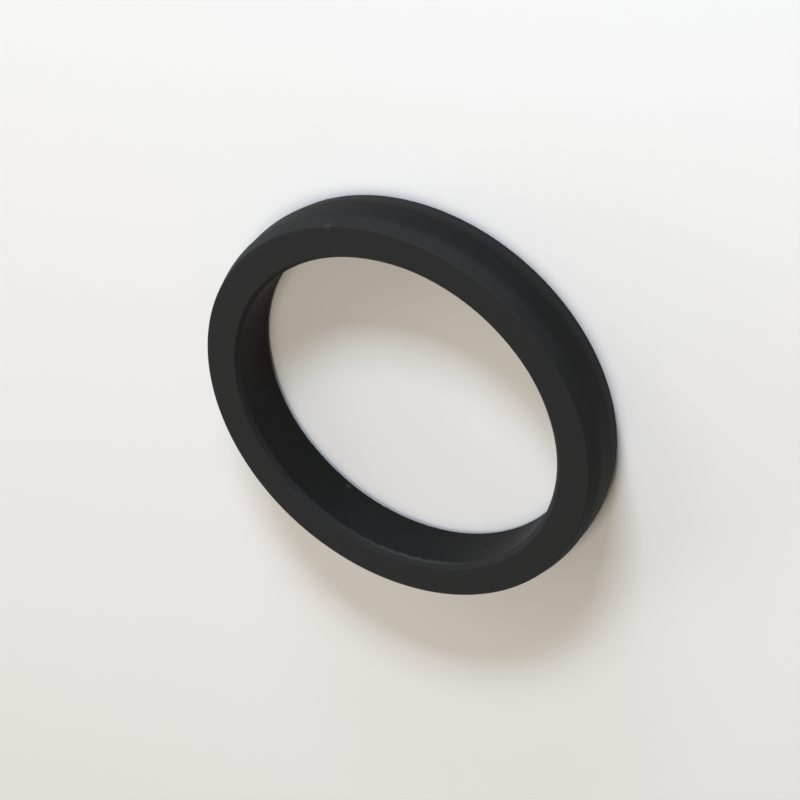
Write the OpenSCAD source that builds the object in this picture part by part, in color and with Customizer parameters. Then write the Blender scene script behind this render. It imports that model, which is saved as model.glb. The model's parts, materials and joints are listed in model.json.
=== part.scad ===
// Sealing ring moulded in one piece of black rubber, lying on one of its two flat faces.
// The origin is at the centre of the lower face, and the axis of the ring is Z. Sizes are in mm.

/* [Ring] */
// Outer diameter, over the level middle band of the outer wall
outer_d = 40; // [38:0.5:60]
// Diameter of the bore
bore_d = 32.6; // [20:0.1:33.6]
// Width of the ring between its two flat faces
ring_w = 5.7; // [5:0.1:12]

/* [Outer wall] */
// Width of the sloping band at each edge of the outer wall
slope_w = 1.55; // [1.1:0.05:1.8]
// How far each sloping band falls in towards the axis
slope_drop = 0.4; // [0.1:0.05:0.6]
// Rounding where a sloping band meets the middle band
slope_round = 3.5; // [1:0.5:4]
// Rounding of the outer edge of each flat face
rim_round = 0.1; // [0.05:0.05:0.3]

/* [Bore edges] */
// Size of the 45 degree bevel at each end of the bore
bevel = 0.4; // [0.2:0.05:0.8]
// Rounding of the two edges of each bevel
bevel_round = 0.1; // [0.02:0.02:0.2]

/* [Hidden] */

outer_r = outer_d / 2;
bore_r = bore_d / 2;
face_outer_r = outer_r - slope_drop;
face_inner_r = bore_r + bevel;

// Largest turn, in degrees, between two neighbouring points of a rounded corner
arc_step = 10;
$fn = 180;

// Corners of the section, anticlockwise from the inner edge of the lower face: radius, height
// and the rounding at that corner.
section_corners = [
    [face_inner_r, 0, bevel_round],
    [face_outer_r, 0, rim_round],
    [outer_r, slope_w, slope_round],
    [outer_r, ring_w - slope_w, slope_round],
    [face_outer_r, ring_w, rim_round],
    [face_inner_r, ring_w, bevel_round],
    [bore_r, ring_w - bevel, bevel_round],
    [bore_r, bevel, bevel_round]
];

function place(corner) = [corner.x, corner.y];

function unit(vector) = vector / norm(vector);

// Arc that rounds one corner of an anticlockwise outline. It starts where it touches the line
// from the corner before, and ends where it touches the line to the corner after.
function rounded_corner(before, corner, after, radius) =
    let (
        to_before = unit(before - corner),
        to_after = unit(after - corner),
        half_angle = acos(to_before * to_after) / 2,
        centre = corner + unit(to_before + to_after) * radius / sin(half_angle),
        first = corner + to_before * radius / tan(half_angle) - centre,
        first_angle = atan2(first.y, first.x),
        turn = 180 - 2 * half_angle,
        steps = ceil(turn / arc_step) + 1
    )
    [
        for (step = [0 : steps])
            let (angle = first_angle + turn * step / steps)
                centre + radius * [cos(angle), sin(angle)]
    ];

function rounded_outline(corners) =
    let (count = len(corners))
    [
        for (i = [0 : count - 1])
            each rounded_corner(
                place(corners[(i + count - 1) % count]),
                place(corners[i]),
                place(corners[(i + 1) % count]),
                corners[i].z
            )
    ];

// The whole ring: its section turned once about the axis
module sealing_ring() {
    color([0.17, 0.17, 0.175])
        rotate_extrude()
            polygon(rounded_outline(section_corners));
}

sealing_ring();
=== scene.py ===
"""Blender scene of a moulded rubber sealing ring: its skin, finish, floor, light and camera."""

import json
import logging
import math
from dataclasses import dataclass
from enum import Enum
from typing import ClassVar

import bpy
import numpy as np
from mathutils import Matrix, Vector

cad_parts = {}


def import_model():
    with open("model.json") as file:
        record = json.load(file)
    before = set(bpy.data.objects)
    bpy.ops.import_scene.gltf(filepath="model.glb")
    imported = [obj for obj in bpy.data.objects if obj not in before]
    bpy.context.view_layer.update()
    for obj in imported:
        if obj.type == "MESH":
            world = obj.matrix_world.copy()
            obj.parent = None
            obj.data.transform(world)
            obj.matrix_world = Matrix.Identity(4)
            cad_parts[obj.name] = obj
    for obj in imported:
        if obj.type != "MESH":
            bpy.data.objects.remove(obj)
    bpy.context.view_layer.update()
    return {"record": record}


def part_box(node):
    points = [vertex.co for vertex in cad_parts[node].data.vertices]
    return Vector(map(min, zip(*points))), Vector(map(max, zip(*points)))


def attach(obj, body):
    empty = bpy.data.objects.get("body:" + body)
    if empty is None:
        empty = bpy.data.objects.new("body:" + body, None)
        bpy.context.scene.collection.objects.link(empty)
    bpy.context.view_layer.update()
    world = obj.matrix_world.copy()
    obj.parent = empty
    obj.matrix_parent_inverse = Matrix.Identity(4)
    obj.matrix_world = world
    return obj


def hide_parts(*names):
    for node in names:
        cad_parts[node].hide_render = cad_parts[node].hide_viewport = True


LOG = logging.getLogger("sealing_ring_scene")

MM = 0.001
CAD_NODE = "sealing_ring"
BODY = "root"
FULL_TURN = 2 * math.pi

Colour = tuple[float, float, float]
Feed = float | tuple[float, float, float, float] | bpy.types.NodeSocket


class Side(Enum):
    """The two flat sides of the ring."""

    LOWER = 0
    UPPER = 1


class Stretch(Enum):
    """The straight stretches of the section, each numbered as the corner that it starts from."""

    LOWER_FACE = 0
    LOWER_SLOPE = 1
    MIDDLE_BAND = 2
    UPPER_SLOPE = 3
    UPPER_FACE = 4
    UPPER_BEVEL = 5
    BORE = 6
    LOWER_BEVEL = 7

    def next(self) -> "Stretch":
        """Returns the stretch after this one, anticlockwise."""
        return Stretch((self.value + 1) % len(Stretch))

    def previous(self) -> "Stretch":
        """Returns the stretch before this one."""
        return Stretch((self.value - 1) % len(Stretch))


class MixKind(Enum):
    """What a Mix node blends: Blender's name for it, and the places of its two inputs and its output."""

    NUMBERS = ("FLOAT", 2, 3, 0)
    COLOURS = ("RGBA", 6, 7, 2)


@dataclass(frozen=True)
class SectionSizes:
    """Sizes of the ring's section, in metres.

    Args:
        outer_r: radius of the level middle band of the outer wall.
        bore_r: radius of the bore.
        width: distance between the two flat faces.
        slope_width: width of the sloping band at each edge of the outer wall.
        slope_drop: how far each sloping band falls in towards the axis.
        slope_round: rounding where a sloping band meets the middle band.
        rim_round: rounding of the outer edge of each flat face.
        bevel: size of the bevel at each end of the bore.
        bevel_round: rounding of the two edges of each bevel.
    """

    outer_r: float
    bore_r: float
    width: float
    slope_width: float = 1.55 * MM
    slope_drop: float = 0.4 * MM
    slope_round: float = 3.5 * MM
    rim_round: float = 0.1 * MM
    bevel: float = 0.4 * MM
    bevel_round: float = 0.1 * MM


@dataclass(frozen=True)
class Waves:
    """A smooth random curve that closes on itself after a full turn.

    Args:
        seed: start of the random draws.
        slowest: smallest number of waves in a full turn.
        fastest: largest number of waves in a full turn.
    """

    seed: int
    slowest: int
    fastest: int

    def height(self, turn: np.ndarray) -> np.ndarray:
        """Works out the curve.

        It is the sum of one cosine for each whole number of waves from slowest to fastest, each with
        a random phase and a height that falls with the square root of its number of waves. The sum
        is scaled so that its largest value is 1.

        Args:
            turn: angles round the axis, in radians.

        Returns:
            The curve's value at each angle.
        """
        counts = np.arange(self.slowest, self.fastest + 1)
        phases = np.random.default_rng(self.seed).uniform(0, FULL_TURN, len(counts))
        curve = (np.cos(np.outer(turn, counts) + phases) / np.sqrt(counts)).sum(axis=1)
        return curve / np.abs(curve).max()


@dataclass(frozen=True)
class Nicks:
    """A stretch of the upper bevel whose edge at the bore the trimming knife left ragged and pale.

    Args:
        angle: the middle of the stretch round the axis, in degrees.
        spread: the angle at which the raggedness has fallen to about a third, in degrees.
        depth: how far the edge wanders, in metres.
        paleness: how pale the edge is in the middle, from 0 to 1.
        waves: how the edge wanders.
    """

    angle: float
    spread: float
    depth: float
    paleness: float
    waves: Waves

    def bell(self, turn: np.ndarray) -> np.ndarray:
        """Works out how strongly the stretch shows: a bell curve of the angle, 1 in its middle."""
        away = np.degrees(np.angle(np.exp(1j * (turn - math.radians(self.angle)))))
        return np.exp(-((away / self.spread) ** 2))

    def wander(self, turn: np.ndarray) -> np.ndarray:
        """Works out how far the edge wanders down the bore, in metres: the waves times the bell curve."""
        return self.depth * self.bell(turn) * self.waves.height(turn)


@dataclass(frozen=True)
class Nib:
    """A small raised speck that the mould or the trimming left on the ring.

    Args:
        angle: where it is round the axis, in degrees.
        radius: its distance from the axis, in metres.
        height: its height above the lower face, in metres.
        size: how wide it is, in metres.
        rise: how far it stands out, in metres.
    """

    angle: float
    radius: float
    height: float
    size: float
    rise: float

    def place(self) -> np.ndarray:
        """Returns the middle of the nib as a point in the frame."""
        turn = math.radians(self.angle)
        return np.array([self.radius * math.cos(turn), self.radius * math.sin(turn), self.height])


@dataclass(frozen=True)
class TrimmingAndPaintedLight:
    """How far the knife went over each surface, from 0 for untouched moulded skin to 1. The same share
    sets the greyer colour, which paints sheen on the slopes and bevels, while the deep black left on the
    band and bore is painted shade.

    Args:
        faces: the two flat faces.
        slopes: the sloping bands of the outer wall.
        bevels: the bevels of the bore.
        walls: the middle band of the outer wall, and the bore.
    """

    faces: float
    slopes: float
    bevels: float
    walls: float

    def share(self, stretch: Stretch) -> float:
        """Returns how far the knife went over one stretch of the section, which is also its share of the
        greyer colour of the painted sheen.
        """
        return {
            Stretch.LOWER_FACE: self.faces,
            Stretch.LOWER_SLOPE: self.slopes,
            Stretch.MIDDLE_BAND: self.walls,
            Stretch.UPPER_SLOPE: self.slopes,
            Stretch.UPPER_FACE: self.faces,
            Stretch.UPPER_BEVEL: self.bevels,
            Stretch.BORE: self.walls,
            Stretch.LOWER_BEVEL: self.bevels,
        }[stretch]


@dataclass(frozen=True)
class SkinGrid:
    """How finely the skin is divided.

    Args:
        round_steps: steps round the axis.
        straight_step: longest step along a straight stretch of the section, in metres.
        arc_step: largest turn between two points of a rounded corner, in degrees.
    """

    round_steps: int = 720
    straight_step: float = 0.26 * MM
    arc_step: float = 12.0


def unit(vectors: np.ndarray) -> np.ndarray:
    """Returns the vectors, which lie along the last axis, at length 1."""
    return vectors / np.linalg.norm(vectors, axis=-1, keepdims=True)


@dataclass(frozen=True)
class CornerArcs:
    """The arcs that round the section's corners, with one row a corner and one column an angle.

    An arc touches the two lines that meet at its corner. Its centre lies on the line that halves the
    corner, at the rounding divided by the sine of half the corner's angle.

    Args:
        corners: radius and height of each corner.
        roundings: radius of each arc.
    """

    corners: np.ndarray
    roundings: np.ndarray

    @property
    def to_before(self) -> np.ndarray:
        """The direction from each corner to the one before it."""
        return unit(np.roll(self.corners, 1, axis=0) - self.corners)

    @property
    def to_after(self) -> np.ndarray:
        """The direction from each corner to the one after it."""
        return unit(np.roll(self.corners, -1, axis=0) - self.corners)

    @property
    def half_corner(self) -> np.ndarray:
        """Half the angle of each corner, in radians."""
        return np.arccos((self.to_before * self.to_after).sum(-1)) / 2

    @property
    def reach(self) -> np.ndarray:
        """The distance from each corner to the two ends of its arc."""
        return (self.roundings[:, None] / np.tan(self.half_corner))[..., None]

    @property
    def centres(self) -> np.ndarray:
        """The centre of each arc."""
        distance = self.roundings[:, None] / np.sin(self.half_corner)
        return self.corners + unit(self.to_before + self.to_after) * distance[..., None]

    @property
    def starts(self) -> np.ndarray:
        """The point where each arc starts."""
        return self.corners + self.to_before * self.reach

    @property
    def ends(self) -> np.ndarray:
        """The point where each arc ends."""
        return self.corners + self.to_after * self.reach

    @property
    def bends(self) -> np.ndarray:
        """How far each arc turns, in radians."""
        return math.pi - 2 * self.half_corner

    def along(self, corner: int, steps: int) -> list[np.ndarray]:
        """Divides one arc into equal steps.

        Args:
            corner: number of the corner.
            steps: number of steps.

        Returns:
            The arc's points from its start to its end, each at every angle round the axis.
        """
        centre = self.centres[corner]
        first = self.starts[corner] - centre
        first_angle = np.arctan2(first[:, 1], first[:, 0])
        angles = [first_angle + self.bends[corner] * step / steps for step in range(steps + 1)]
        return [
            centre + self.roundings[corner] * np.stack([np.cos(angle), np.sin(angle)], -1)
            for angle in angles
        ]


@dataclass(frozen=True)
class OutlineRow:
    """One point of the rounded section, at every angle round the axis.

    Args:
        place: radius and height at each angle.
        sharp: how near it is to a sharp edge, which is 1 on a tight arc and 0 elsewhere.
        trimmed: how far the knife went over it, from 0 to 1, which is also its share of the greyer colour:
            painted sheen on slopes and bevels, painted shade as deep black on the band and bore.
        torn: 1 on the upper edge of the bore, which has the ragged stretch, and 0 elsewhere.
    """

    place: np.ndarray
    sharp: float
    trimmed: float
    torn: float


@dataclass(frozen=True)
class MouldedRing:
    """The ring's skin: its section carried round the axis, with the small faults of a moulding.

    Args:
        sizes: sizes of the section.
        grid: how finely the skin is divided.
        trimming: how far the knife went over each surface, and with it where sheen and shade are painted.
        nicks: the ragged stretch of the upper bevel.
        nibs: the specks that stand out of the skin.
    """

    sizes: SectionSizes
    grid: SkinGrid
    trimming: TrimmingAndPaintedLight
    nicks: Nicks
    nibs: tuple[Nib, ...]

    @property
    def turn(self) -> np.ndarray:
        """The angles round the axis, in radians."""
        return np.arange(self.grid.round_steps) * FULL_TURN / self.grid.round_steps

    def bevel_width(self, side: Side) -> np.ndarray:
        """Works out the bevel's size at each angle.

        The bevel was trimmed by hand, so its size is the stated one times 1 plus a smooth wave.

        Args:
            side: the side of the ring that the bevel is on.

        Returns:
            The bevel's size at each angle, in metres.
        """
        unevenness = 0.09
        lower_seed = 11
        waves = Waves(seed=lower_seed + side.value, slowest=3, fastest=14)
        return self.sizes.bevel * (1 + unevenness * waves.height(self.turn))

    def arcs(self) -> CornerArcs:
        """Lists the section's corners at every angle, anticlockwise from the lower face's inner edge.

        Returns:
            The arcs that round the corners.
        """
        size = self.sizes
        level = np.ones_like(self.turn)
        lower = self.bevel_width(Side.LOWER)
        upper = self.bevel_width(Side.UPPER)
        face_outer_r = (size.outer_r - size.slope_drop) * level
        outer_r = size.outer_r * level
        bore_r = size.bore_r * level
        top = size.width * level
        corners = [
            (bore_r + lower, 0 * level, size.bevel_round),
            (face_outer_r, 0 * level, size.rim_round),
            (outer_r, size.slope_width * level, size.slope_round),
            (outer_r, top - size.slope_width, size.slope_round),
            (face_outer_r, top, size.rim_round),
            (bore_r + upper, top, size.bevel_round),
            (bore_r, top - upper - self.nicks.wander(self.turn), size.bevel_round),
            (bore_r, lower, size.bevel_round),
        ]
        return CornerArcs(
            corners=np.array([np.stack([radius, height], -1) for radius, height, _ in corners]),
            roundings=np.array([rounding for _, _, rounding in corners]),
        )

    def outline(self) -> list[OutlineRow]:
        """Divides the rounded corners and the straight stretches of the section.

        A straight stretch runs from the end of one arc to the start of the next, in equal steps. On
        an arc the trimmed share, which also carries the painted sheen and shade, goes evenly from that
        of the stretch before to that of the stretch after.

        Returns:
            The points of the rounded section, in order.
        """
        widest_sharp_rounding = 0.5 * MM
        arcs = self.arcs()
        rows: list[OutlineRow] = []
        for stretch in Stretch:
            corner = stretch.value
            before = self.trimming.share(stretch.previous())
            after = self.trimming.share(stretch)
            sharp = 1.0 if arcs.roundings[corner] < widest_sharp_rounding else 0.0
            torn = 1.0 if stretch is Stretch.BORE else 0.0
            arc_steps = math.ceil(math.degrees(arcs.bends[corner].max()) / self.grid.arc_step) + 1
            for step, place in enumerate(arcs.along(corner, arc_steps)):
                trimmed = before + (after - before) * step / arc_steps
                rows.append(OutlineRow(place, sharp, trimmed, torn))
            end = arcs.ends[corner]
            gap = arcs.starts[stretch.next().value] - end
            gap_steps = math.ceil(np.linalg.norm(gap, axis=-1).max() / self.grid.straight_step)
            for step in range(1, gap_steps):
                place = end + gap * step / gap_steps
                rows.append(OutlineRow(place, sharp=0.0, trimmed=after, torn=0.0))
        return rows

    def points(self, rows: list[OutlineRow]) -> np.ndarray:
        """Carries the outline round the axis.

        A point at radius r and height h stands at (r cos t, r sin t, h) at the angle t.

        Args:
            rows: the points of the section.

        Returns:
            The points, with one row for each point of the section and one column for each angle.
        """
        places = np.array([row.place for row in rows])
        radius = places[..., 0]
        height = places[..., 1]
        return np.stack([radius * np.cos(self.turn), radius * np.sin(self.turn), height], -1)

    def with_nibs(self, points: np.ndarray) -> tuple[np.ndarray, np.ndarray]:
        """Raises each nib out of the skin.

        A point moves away from the middle of the section, by the nib's rise times a bell curve of
        its distance from the nib, which falls to about a third at half the nib's size.

        Args:
            points: the skin's points.

        Returns:
            The moved points, and each point's share of a nib, from 0 to 1.
        """
        middle_r = (self.sizes.outer_r + self.sizes.bore_r) / 2
        middle = middle_r * np.stack([np.cos(self.turn), np.sin(self.turn), 0 * self.turn], -1)
        middle[:, 2] = self.sizes.width / 2
        outwards = unit(points - middle)
        share = np.zeros(points.shape[:2])
        moved = points.copy()
        for nib in self.nibs:
            distance = np.linalg.norm(points - nib.place(), axis=-1)
            bell = np.exp(-((2 * distance / nib.size) ** 2))
            moved += outwards * (nib.rise * bell)[..., None]
            share = np.maximum(share, bell)
        return moved, share

    @staticmethod
    def faces(rows: int, columns: int) -> np.ndarray:
        """Joins the skin's points into faces, and its last row and column to its first ones.

        Args:
            rows: how many points the section has.
            columns: how many angles there are round the axis.

        Returns:
            The four corners of each face, as numbers of points, in the order that faces outwards.
        """
        row = np.arange(rows)[:, None]
        column = np.arange(columns)[None, :]
        next_row = (row + 1) % rows
        next_column = (column + 1) % columns
        corners = [
            row * columns + column,
            row * columns + next_column,
            next_row * columns + next_column,
            next_row * columns + column,
        ]
        return np.stack(corners, -1).reshape(-1, 4)

    def build(self) -> bpy.types.Object:
        """Builds the skin as one closed mesh.

        Returns:
            The ring's object, at the origin.
        """
        outline = self.outline()
        points, nib_share = self.with_nibs(self.points(outline))
        level = np.ones_like(self.turn)
        sharp_share = np.outer([row.sharp for row in outline], level)
        trimmed_and_painted_light_share = np.outer([row.trimmed for row in outline], level)
        torn_share = np.outer([row.torn for row in outline], self.nicks.bell(self.turn))
        mesh = bpy.data.meshes.new("moulded_ring")
        mesh.from_pydata(points.reshape(-1, 3), [], self.faces(*points.shape[:2]).tolist())
        mesh.shade_smooth()
        self.add_share(mesh, "edge_share", sharp_share)
        # The trimmed share is also the mask of painted sheen on the slopes and bevels and of painted shade
        # on the band and bore.
        self.add_share(mesh, "trimmed_and_painted_light_share", trimmed_and_painted_light_share)
        self.add_share(mesh, "fault_share", np.maximum(nib_share, self.nicks.paleness * torn_share))
        mesh.validate()
        ring = bpy.data.objects.new("moulded_ring", mesh)
        bpy.context.scene.collection.objects.link(ring)
        return ring

    def dress(self, ring: bpy.types.Object, finish: "BlackRubber") -> None:
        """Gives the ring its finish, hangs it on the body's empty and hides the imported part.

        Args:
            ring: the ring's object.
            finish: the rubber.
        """
        ring.data.materials.append(finish.material())
        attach(ring, BODY)
        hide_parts(CAD_NODE)

    @staticmethod
    def add_share(mesh: bpy.types.Mesh, name: str, values: np.ndarray) -> None:
        """Writes one number a vertex into the mesh, in the order of the vertices."""
        attribute = mesh.attributes.new(name, "FLOAT", "POINT")
        attribute.data.foreach_set("value", values.ravel().astype(np.float32))


class ShaderBench:
    """Adds nodes to a node tree and joins them."""

    def __init__(self, tree: bpy.types.NodeTree) -> None:
        """Keeps the tree that the nodes go into."""
        self.tree = tree

    @classmethod
    def for_material(cls, name: str) -> tuple[bpy.types.Material, "ShaderBench"]:
        """Makes an empty material.

        Args:
            name: its name.

        Returns:
            The material and the bench for its nodes.
        """
        material = bpy.data.materials.new(name)
        material.use_nodes = True
        material.node_tree.nodes.clear()
        return material, cls(material.node_tree)

    def add(self, kind: str, **values: object) -> bpy.types.Node:
        """Adds a node and sets its properties.

        Args:
            kind: Blender's name for the kind of node.
            values: the node's properties by name.

        Returns:
            The node.
        """
        node = self.tree.nodes.new(kind)
        for name, value in values.items():
            setattr(node, name, value)
        return node

    def fill(self, socket: bpy.types.NodeSocket, value: Feed) -> None:
        """Fills one input with a number, a colour or another node's output.

        Args:
            socket: the input.
            value: what goes into it.
        """
        if isinstance(value, bpy.types.NodeSocket):
            self.tree.links.new(value, socket)
        else:
            socket.default_value = value

    def feed(self, node: bpy.types.Node, **inputs: Feed) -> None:
        """Fills a node's inputs, which are named with an underscore for each space."""
        for name, value in inputs.items():
            self.fill(node.inputs[name.replace("_", " ")], value)

    def blend(self, kind: MixKind, share: Feed, low: Feed, high: Feed) -> bpy.types.NodeSocket:
        """Blends two numbers or two colours.

        Args:
            kind: whether they are numbers or colours.
            share: how much of the second shows, from 0 to 1.
            low: the first.
            high: the second.

        Returns:
            The blend.
        """
        blender_name, first, second, result = kind.value
        mix = self.add("ShaderNodeMix", data_type=blender_name)
        self.fill(mix.inputs[0], share)
        self.fill(mix.inputs[first], low)
        self.fill(mix.inputs[second], high)
        return mix.outputs[result]

    def calculate(self, operation: str, *numbers: Feed, clamp: bool = False) -> bpy.types.NodeSocket:
        """Adds a Math node.

        Args:
            operation: Blender's name for what it does.
            numbers: its inputs in order.
            clamp: whether its result is kept between 0 and 1.

        Returns:
            The result.
        """
        node = self.add("ShaderNodeMath", operation=operation, use_clamp=clamp)
        for socket, number in zip(node.inputs, numbers):
            self.fill(socket, number)
        return node.outputs[0]

    def between(self, share: Feed, low: Feed, high: Feed) -> bpy.types.NodeSocket:
        """Adds a Map Range node.

        Args:
            share: a number from 0 to 1.
            low: the result where the share is 0.
            high: the result where it is 1.

        Returns:
            The result.
        """
        node = self.add("ShaderNodeMapRange")
        self.feed(node, Value=share, To_Min=low, To_Max=high)
        return node.outputs[0]

    def attribute(self, name: str) -> bpy.types.NodeSocket:
        """Returns one of the mesh's attributes as a number."""
        return self.add("ShaderNodeAttribute", attribute_name=name).outputs["Fac"]

    def object_place(self) -> bpy.types.NodeSocket:
        """Returns the Object coordinates."""
        return self.add("ShaderNodeTexCoord").outputs["Object"]


@dataclass(frozen=True)
class Mottle:
    """Cloudy unevenness of a surface: a shader node group that more than one finish uses.

    Args:
        cloud: scale of the large noise, in waves a metre.
        speck: scale of the small noise, in waves a metre.
        contrast: how strongly the noise is stretched.
    """

    cloud: float
    speck: float
    contrast: float

    GROUP_NAME: ClassVar[str] = "mottle"
    CLOUD_DETAIL: ClassVar[float] = 4.0
    SPECK_DETAIL: ClassVar[float] = 2.0
    SPECK_WEIGHT: ClassVar[float] = 0.35
    MIDDLE: ClassVar[float] = 0.5

    @classmethod
    def group(cls) -> bpy.types.NodeTree:
        """Finds or makes the node group.

        Two noises of different size are added and stretched about their middle value.

        Returns:
            The group, with inputs Vector, Cloud Scale, Speck Scale and Contrast, and output Mask.
        """
        found = bpy.data.node_groups.get(cls.GROUP_NAME)
        if found:
            return found
        tree = bpy.data.node_groups.new(cls.GROUP_NAME, "ShaderNodeTree")
        tree.interface.new_socket("Vector", in_out="INPUT", socket_type="NodeSocketVector")
        for name in ("Cloud Scale", "Speck Scale", "Contrast"):
            tree.interface.new_socket(name, in_out="INPUT", socket_type="NodeSocketFloat")
        tree.interface.new_socket("Mask", in_out="OUTPUT", socket_type="NodeSocketFloat")
        bench = ShaderBench(tree)
        given = bench.add("NodeGroupInput").outputs
        clouds = bench.add("ShaderNodeTexNoise")
        bench.feed(clouds, Vector=given["Vector"], Scale=given["Cloud Scale"], Detail=cls.CLOUD_DETAIL)
        specks = bench.add("ShaderNodeTexNoise")
        bench.feed(specks, Vector=given["Vector"], Scale=given["Speck Scale"], Detail=cls.SPECK_DETAIL)
        both = bench.blend(MixKind.NUMBERS, cls.SPECK_WEIGHT, clouds.outputs["Fac"], specks.outputs["Fac"])
        centred = bench.calculate("SUBTRACT", both, cls.MIDDLE)
        mask = bench.calculate("MULTIPLY_ADD", centred, given["Contrast"], cls.MIDDLE, clamp=True)
        bench.feed(bench.add("NodeGroupOutput"), Mask=mask)
        return tree

    def place(self, bench: ShaderBench, vector: bpy.types.NodeSocket) -> bpy.types.NodeSocket:
        """Puts the group into a material.

        Args:
            bench: the material's bench.
            vector: the coordinates that the pattern follows.

        Returns:
            The mask, from 0 to 1.
        """
        node = bench.add("ShaderNodeGroup", node_tree=self.group())
        bench.feed(
            node,
            Vector=vector,
            Cloud_Scale=self.cloud,
            Speck_Scale=self.speck,
            Contrast=self.contrast,
        )
        return node.outputs["Mask"]


@dataclass(frozen=True)
class BlackRubber:
    """Finish of the ring: dull black rubber, a little greyer where it was trimmed or is rubbed. The greyer
    trimmed colour on the slopes and bevels is painted sheen, and the deeper black of the band and bore is
    painted shade.

    Args:
        moulded_and_painted_shade_deep: darker colour of the moulded skin, kept very dark as painted shade
            on the band and bore.
        moulded_and_painted_shade_cloudy: its lighter colour.
        trimmed_and_painted_sheen_deep: darker colour where it was trimmed, greyer as painted sheen on the
            slopes and bevels.
        trimmed_and_painted_sheen_cloudy: its lighter colour there.
        rubbed: colour of a rubbed edge or a fault.
        edge_wear: how much of that colour the sharp edges show at most.
        moulded_roughness: roughness of the moulded skin.
        smooth_roughness: lowest roughness where it was trimmed.
        dull_roughness: highest roughness there.
        specular: strength of the gloss.
        clouds: the large unevenness.
        grain: the fine unevenness.
        grain_depth: depth of both in the surface, in metres.
        grain_strength: how much of that depth shows.
    """

    moulded_and_painted_shade_deep: Colour = (0.0032, 0.0032, 0.0032)
    moulded_and_painted_shade_cloudy: Colour = (0.0056, 0.0054, 0.0054)
    trimmed_and_painted_sheen_deep: Colour = (0.0124, 0.0124, 0.0124)
    trimmed_and_painted_sheen_cloudy: Colour = (0.0172, 0.017, 0.017)
    rubbed: Colour = (0.027, 0.027, 0.027)
    edge_wear: float = 0.25
    moulded_roughness: float = 0.61
    smooth_roughness: float = 0.69
    dull_roughness: float = 0.79
    specular: float = 0.12
    clouds: Mottle = Mottle(cloud=170.0, speck=900.0, contrast=2.4)
    grain: Mottle = Mottle(cloud=2600.0, speck=7000.0, contrast=2.0)
    grain_depth: float = 0.02 * MM
    grain_strength: float = 0.5

    def material(self) -> bpy.types.Material:
        """Makes the material.

        Returns:
            The material, whose patterns follow Object coordinates.
        """
        material, bench = ShaderBench.for_material("black_moulded_rubber")
        place = bench.object_place()
        clouds = self.clouds.place(bench, place)
        grain = self.grain.place(bench, place)
        trimmed_and_painted_light_share = bench.attribute("trimmed_and_painted_light_share")

        # Painted sheen and shade: the greyer trimmed colour lightens the slopes and bevels, the deeper
        # moulded black darkens the band and bore.
        moulded = bench.blend(MixKind.COLOURS, clouds, (*self.moulded_and_painted_shade_deep, 1), (*self.moulded_and_painted_shade_cloudy, 1))
        trimmed = bench.blend(MixKind.COLOURS, clouds, (*self.trimmed_and_painted_sheen_deep, 1), (*self.trimmed_and_painted_sheen_cloudy, 1))
        body = bench.blend(MixKind.COLOURS, trimmed_and_painted_light_share, moulded, trimmed)
        colour = bench.blend(MixKind.COLOURS, self.worn_share(bench, grain), body, (*self.rubbed, 1))

        trimmed_roughness = bench.between(clouds, self.smooth_roughness, self.dull_roughness)
        roughness = bench.between(trimmed_and_painted_light_share, self.moulded_roughness, trimmed_roughness)

        bump = bench.add("ShaderNodeBump")
        height = bench.calculate("ADD", grain, clouds)
        bench.feed(bump, Strength=self.grain_strength, Distance=self.grain_depth, Height=height)

        rubber = bench.add("ShaderNodeBsdfPrincipled")
        bench.feed(
            rubber,
            Base_Color=colour,
            Roughness=roughness,
            Specular_IOR_Level=self.specular,
            Normal=bump.outputs[0],
        )
        bench.feed(bench.add("ShaderNodeOutputMaterial"), Surface=rubber.outputs[0])
        return material

    def worn_share(self, bench: ShaderBench, grain: bpy.types.NodeSocket) -> bpy.types.NodeSocket:
        """Works out where the rubber is rubbed: on sharp edges, broken by the grain, and on faults.

        Args:
            bench: the material's bench.
            grain: mask of the fine grain.

        Returns:
            The share of rubbed rubber, from 0 to 1.
        """
        broken = bench.calculate("MULTIPLY", bench.attribute("edge_share"), grain)
        faded = bench.calculate("MULTIPLY", broken, self.edge_wear)
        return bench.calculate("ADD", faded, bench.attribute("fault_share"), clamp=True)


@dataclass(frozen=True)
class PaleBoard:
    """Finish of the floor: a plain pale board, very slightly cloudy.

    Args:
        light: its lighter colour.
        cloudy: its darker colour.
        roughness: its roughness.
        specular: strength of its gloss.
        clouds: its unevenness.
    """

    light: Colour = (0.89, 0.89, 0.89)
    cloudy: Colour = (0.875, 0.875, 0.87)
    roughness: float = 0.9
    specular: float = 0.1
    clouds: Mottle = Mottle(cloud=30.0, speck=260.0, contrast=1.5)

    def material(self) -> bpy.types.Material:
        """Makes the material.

        Returns:
            The material, whose pattern follows Object coordinates.
        """
        material, bench = ShaderBench.for_material("pale_board")
        clouds = self.clouds.place(bench, bench.object_place())
        colour = bench.blend(MixKind.COLOURS, clouds, (*self.light, 1), (*self.cloudy, 1))
        board = bench.add("ShaderNodeBsdfPrincipled")
        bench.feed(board, Base_Color=colour, Roughness=self.roughness, Specular_IOR_Level=self.specular)
        bench.feed(bench.add("ShaderNodeOutputMaterial"), Surface=board.outputs[0])
        return material


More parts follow.
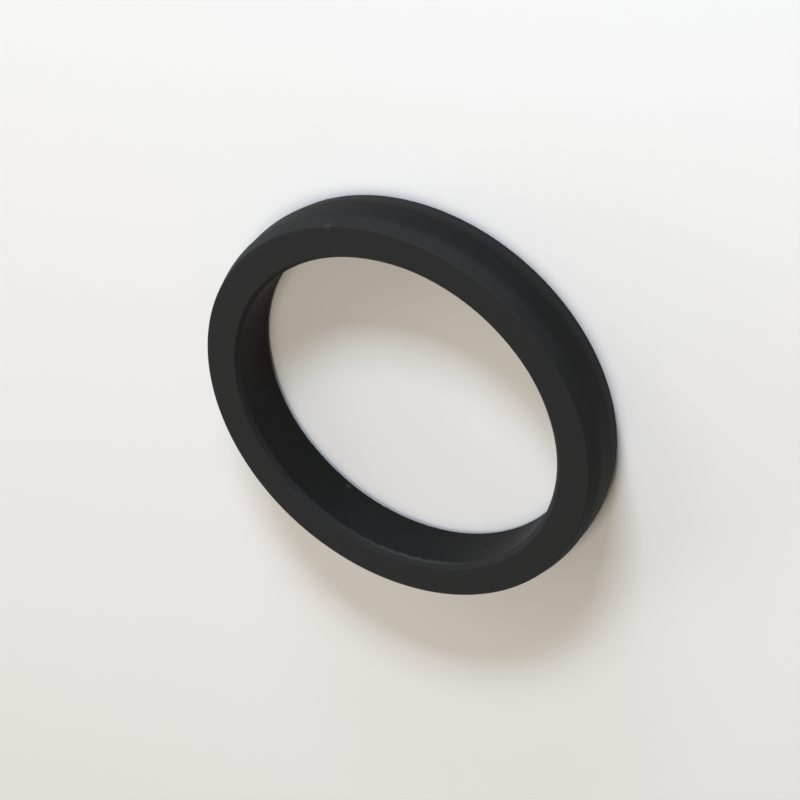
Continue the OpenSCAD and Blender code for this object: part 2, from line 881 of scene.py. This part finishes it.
@dataclass(frozen=True)
class Lamp:
    """A soft box that points at the ring, with its long side level.

    Args:
        name: its name.
        azimuth: where it stands round the ring, in degrees from the near side, anticlockwise from above.
        elevation: its height above the floor as seen from the ring, in degrees.
        distance: its distance from the ring, in metres.
        length: its size along the level, in metres.
        height: its size across that, in metres.
        brightness: what it adds to a white surface that faces it.
        colour: its colour.
    """

    name: str
    azimuth: float
    elevation: float
    distance: float
    length: float
    height: float
    brightness: float
    colour: Colour

    def direction(self) -> Vector:
        """Works out the direction from the ring to the lamp.

        Returns:
            The direction, at length 1.
        """
        turn = math.radians(self.azimuth)
        rise = math.radians(self.elevation)
        return Vector((math.sin(turn) * math.cos(rise), -math.cos(turn) * math.cos(rise), math.sin(rise)))

    def build(self, aim: Vector) -> None:
        """Makes the lamp.

        A small lamp of power P gives P / (pi x distance squared) of light to a surface that faces it,
        and a white surface sends back a share 1 / pi of that.

        Args:
            aim: the point that it points at.
        """
        data = bpy.data.lights.new(self.name, "AREA")
        data.shape = "RECTANGLE"
        data.size = self.length
        data.size_y = self.height
        data.color = self.colour
        data.energy = self.brightness * math.pi**2 * self.distance**2
        lamp = bpy.data.objects.new(self.name, data)
        lamp.location = aim + self.direction() * self.distance
        lamp.rotation_mode = "QUATERNION"
        lamp.rotation_quaternion = self.direction().to_track_quat("Z", "Y")
        bpy.context.scene.collection.objects.link(lamp)


@dataclass(frozen=True)
class Studio:
    """Floor, lamps and surroundings.

    Args:
        floor_r: radius of the floor, in metres.
        lamps: the lamps.
        surroundings: colour of the light from all round.
        fill: strength of that light.
        background: colour that the camera and the gloss see past the floor.
        background_strength: strength of that colour, at which 1 is white.
    """

    floor_r: float
    lamps: tuple[Lamp, ...]
    surroundings: Colour
    fill: float
    background: Colour
    background_strength: float

    FLOOR_CORNERS: ClassVar[int] = 96

    def build_floor(self) -> None:
        """Makes the floor, a round board at height 0.

        Its points stand at (r cos t, r sin t, 0) at equal angles t round the edge, and one more
        stands in the middle.
        """
        turn = np.arange(self.FLOOR_CORNERS) * FULL_TURN / self.FLOOR_CORNERS
        edge = np.stack([self.floor_r * np.cos(turn), self.floor_r * np.sin(turn), 0 * turn], -1)
        points = np.concatenate([edge, np.zeros((1, 3))])
        here = np.arange(self.FLOOR_CORNERS)
        middle = np.full(self.FLOOR_CORNERS, self.FLOOR_CORNERS)
        faces = np.stack([here, (here + 1) % self.FLOOR_CORNERS, middle], -1)
        mesh = bpy.data.meshes.new("floor")
        mesh.from_pydata(points, [], faces.tolist())
        mesh.materials.append(PaleBoard().material())
        floor = bpy.data.objects.new("floor", mesh)
        bpy.context.scene.collection.objects.link(floor)

    def build_surroundings(self) -> None:
        """Makes the world: even light, and a plain background where the camera or the gloss sees it."""
        world = bpy.data.worlds.new("studio")
        bpy.context.scene.world = world
        world.use_nodes = True
        world.node_tree.nodes.clear()
        bench = ShaderBench(world.node_tree)
        light = bench.add("ShaderNodeBackground")
        bench.feed(light, Color=(*self.surroundings, 1), Strength=self.fill)
        backdrop = bench.add("ShaderNodeBackground")
        bench.feed(backdrop, Color=(*self.background, 1), Strength=self.background_strength)
        ray = bench.add("ShaderNodeLightPath").outputs
        camera_or_gloss = bench.calculate("MAXIMUM", ray["Is Camera Ray"], ray["Is Glossy Ray"])
        seen = bench.calculate("MAXIMUM", camera_or_gloss, ray["Is Transmission Ray"])
        choice = bench.add("ShaderNodeMixShader")
        for socket, value in zip(choice.inputs, (seen, light.outputs[0], backdrop.outputs[0])):
            bench.fill(socket, value)
        bench.feed(bench.add("ShaderNodeOutputWorld"), Surface=choice.outputs[0])

    def build(self, aim: Vector) -> None:
        """Makes the floor, the surroundings and the lamps.

        Args:
            aim: the point that the lamps point at.
        """
        self.build_floor()
        self.build_surroundings()
        for lamp in self.lamps:
            lamp.build(aim)


@dataclass(frozen=True)
class PhotoCamera:
    """The camera, placed by how the ring lies in the photograph.

    The line from the ring's upper face to its lower one runs up and to the right in the picture.

    Args:
        lens: focal length, in millimetres.
        elevation: how high the camera stands over the floor, in degrees.
        axis_lean: how far that line leans to the right of straight up in the picture, in degrees.
        distance: how far the upper face's middle lies in front of the camera, in metres.
        face_middle_px: where that middle lies in the picture, in pixels from the top left corner.
    """

    lens: float
    elevation: float
    axis_lean: float
    distance: float
    face_middle_px: tuple[float, float]

    SENSOR: ClassVar[float] = 36.0
    PICTURE_PX: ClassVar[int] = 800
    NEAREST_SHARE: ClassVar[float] = 0.05
    FARTHEST_SHARE: ClassVar[float] = 50.0

    def axes(self) -> tuple[Vector, Vector, Vector]:
        """Works out the camera's axes.

        The camera starts on the near side, level, and looks down by its elevation. There the ring's
        axis, taken downwards, points straight down in the picture, so it is turned about its line
        of sight until the axis points up and leans to the right.

        Returns:
            The picture's right and up directions, and the direction towards the viewer.
        """
        rise = math.radians(self.elevation)
        back = Vector((0, -math.cos(rise), math.sin(rise)))
        level_right = Vector((1, 0, 0))
        level_up = back.cross(level_right)
        lean = math.radians(self.axis_lean)
        up = -math.cos(lean) * level_up + math.sin(lean) * level_right
        right = up.cross(back)
        return right, up, back

    def build(self, face_middle: Vector) -> None:
        """Makes the camera.

        Args:
            face_middle: middle of the ring's upper face.
        """
        right, up, back = self.axes()
        focal_px = self.lens / self.SENSOR * self.PICTURE_PX
        across = (self.face_middle_px[0] - self.PICTURE_PX / 2) / focal_px * self.distance
        above = (self.PICTURE_PX / 2 - self.face_middle_px[1]) / focal_px * self.distance
        data = bpy.data.cameras.new("camera")
        data.lens = self.lens
        data.sensor_width = self.SENSOR
        data.clip_start = self.distance * self.NEAREST_SHARE
        data.clip_end = self.distance * self.FARTHEST_SHARE
        camera = bpy.data.objects.new("camera", data)
        location = face_middle + back * self.distance - right * across - up * above
        turn = Matrix((right, up, back)).transposed().to_4x4()
        camera.matrix_world = Matrix.Translation(location) @ turn
        bpy.context.scene.collection.objects.link(camera)
        bpy.context.scene.camera = camera


CAMERA = PhotoCamera(
    lens=135.0,
    elevation=43.9,
    axis_lean=42.4,
    distance=0.2698,
    face_middle_px=(392.6, 416.6),
)

# The slopes and bevels take part of the greyer colour as painted sheen; the band and bore keep the deep
# black as painted shade.
TRIMMING_AND_PAINTED_LIGHT = TrimmingAndPaintedLight(faces=1.0, slopes=0.62, bevels=0.62, walls=0.0)

NICKS = Nicks(
    angle=130.0,
    spread=20.0,
    depth=0.16 * MM,
    paleness=0.9,
    waves=Waves(seed=29, slowest=45, fastest=120),
)

STUDIO = Studio(
    floor_r=1.2,
    lamps=(
        Lamp(
            name="window",
            azimuth=34.0,
            elevation=22.0,
            distance=0.45,
            length=0.16,
            height=0.07,
            brightness=1.03,
            colour=(0.77, 0.866, 1.0),
        ),
        Lamp(
            name="side_window",
            azimuth=92.0,
            elevation=25.0,
            distance=0.5,
            length=0.4,
            height=0.25,
            brightness=0.2,
            colour=(0.95, 0.97, 1.0),
        ),
        Lamp(
            name="window_sill",
            azimuth=43.0,
            elevation=8.0,
            distance=0.45,
            length=0.16,
            height=0.07,
            brightness=0.36,
            colour=(0.72, 0.84, 1.0),
        ),
        Lamp(
            name="back_window",
            azimuth=140.0,
            elevation=12.0,
            distance=0.6,
            length=0.3,
            height=0.15,
            brightness=0.28,
            colour=(1.0, 0.98, 0.96),
        ),
        Lamp(
            name="ceiling",
            azimuth=0.0,
            elevation=88.0,
            distance=0.8,
            length=0.35,
            height=0.35,
            brightness=0.41,
            colour=(1.0, 0.92, 0.8),
        ),
    ),
    surroundings=(1.0, 0.8, 0.55),
    fill=0.12,
    background=(1.0, 1.0, 1.0),
    background_strength=1.0,
)


def section_from_frame(frame: dict) -> SectionSizes:
    """Reads the ring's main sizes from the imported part.


    Returns:
        The sizes of the section.
    """
    low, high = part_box(CAD_NODE)
    bore = next(mount for mount in frame["record"]["mounts"] if mount["name"] == "bore")
    return SectionSizes(
        outer_r=(high.x - low.x) / 2,
        bore_r=bore["dims"]["r_mm"] * MM,
        width=high.z - low.z,
    )


def nibs_of(sizes: SectionSizes) -> tuple[Nib, ...]:
    """Lists the two specks that the photograph shows.

    Args:
        sizes: sizes of the section.

    Returns:
        One nib on the outer edge of the upper face, and one in the bore near the lower face.
    """
    on_rim = Nib(
        angle=321.5,
        radius=sizes.outer_r - sizes.slope_drop,
        height=sizes.width,
        size=0.7 * MM,
        rise=0.12 * MM,
    )
    in_bore = Nib(
        angle=95.0,
        radius=sizes.bore_r,
        height=0.9 * MM,
        size=0.4 * MM,
        rise=0.06 * MM,
    )
    return on_rim, in_bore


def main() -> None:
    """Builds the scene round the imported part."""
    logging.basicConfig(level=logging.INFO, format="%(name)s: %(message)s")
    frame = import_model()
    bpy.context.scene.view_settings.view_transform = "Standard"

    sizes = section_from_frame(frame)
    face_middle = Vector((0, 0, sizes.width))
    CAMERA.build(face_middle)
    STUDIO.build(face_middle)
    LOG.info("camera and studio made")

    maker = MouldedRing(sizes, SkinGrid(), TRIMMING_AND_PAINTED_LIGHT, NICKS, nibs_of(sizes))
    ring = maker.build()
    maker.dress(ring, BlackRubber())
    LOG.info("%s made with %d faces", ring.name, len(ring.data.polygons))


if __name__ == "__main__":
    main()
